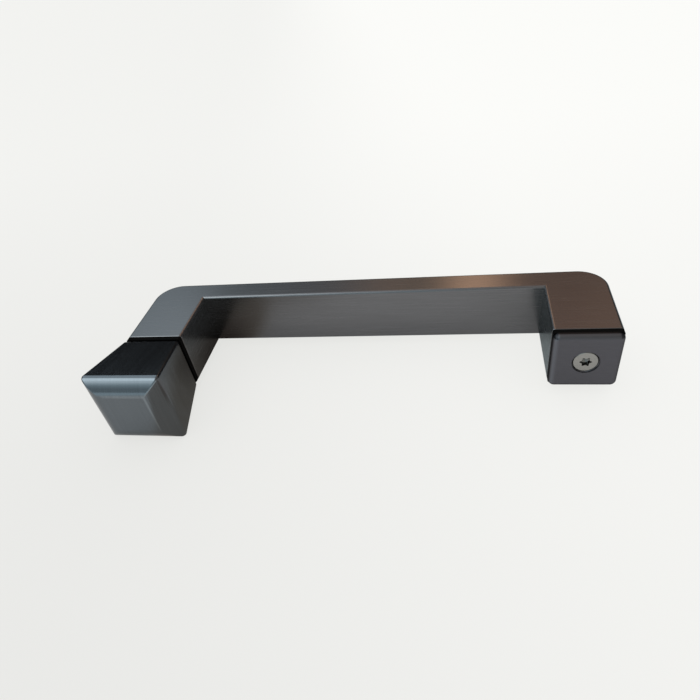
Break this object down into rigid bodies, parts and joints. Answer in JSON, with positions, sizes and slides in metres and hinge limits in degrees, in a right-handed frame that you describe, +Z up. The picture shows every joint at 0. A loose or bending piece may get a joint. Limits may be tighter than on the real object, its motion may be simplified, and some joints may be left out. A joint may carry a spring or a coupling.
{
  "type": "shower door handle",
  "caption": "Square-section pull handle for a glass shower door, clamped by a flared square knob behind the left leg and a screwed cap plate behind the right leg.",
  "frame": {"origin": "midway between the two fixing axes, on the plane where the handle's gaskets meet the door's face", "axes": "+X along the grip from the knob's leg to the end plate's leg, +Y away from the door towards the grip, +Z up through the grip's height"},
  "size_m": [0.237, 0.0861, 0.0386],
  "materials": {
    "gunmetal_body": "dark gunmetal, brushed along the grip",
    "gunmetal_knob": "dark gunmetal, brushed",
    "gunmetal_plate": "dark gunmetal, satin",
    "screw_steel": "plain satin stainless",
    "stud_steel": "plain turned stainless",
    "gasket_black": "matt black"
  },
  "bodies": {
    "root": {"handle_body": "gunmetal_body", "knob": "gunmetal_knob", "end_plate": "gunmetal_plate", "plate_screw": "screw_steel", "knob_stud": "stud_steel", "knob_leg_gasket": "gasket_black", "knob_gasket": "gasket_black", "plate_leg_gasket": "gasket_black", "plate_gasket": "gasket_black"}
  },
  "joints": []
}
